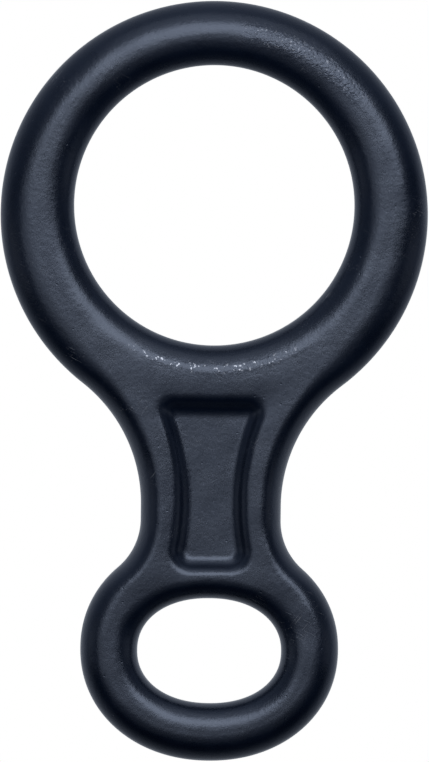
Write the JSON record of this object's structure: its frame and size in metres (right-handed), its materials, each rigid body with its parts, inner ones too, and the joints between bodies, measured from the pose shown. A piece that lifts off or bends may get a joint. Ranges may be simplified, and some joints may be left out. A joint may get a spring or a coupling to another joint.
{
  "type": "figure eight descender",
  "caption": "Forged figure eight descender: a round rope ring and a small oval carabiner eye joined by a waisted, recessed neck, in dark satin anodised aluminium.",
  "frame": {"origin": "centre of the carabiner eye's hole, on the middle plane", "axes": "+Z from the carabiner eye to the rope ring, +X across the face to the right, +Y through the thickness from the front face to the back face"},
  "size_m": [0.0788, 0.0104, 0.1402],
  "materials": {
    "anodised_aluminium": "dark blue-grey satin anodising over a tumbled forging"
  },
  "bodies": {
    "root": {"descender_body": "anodised_aluminium"}
  },
  "joints": []
}
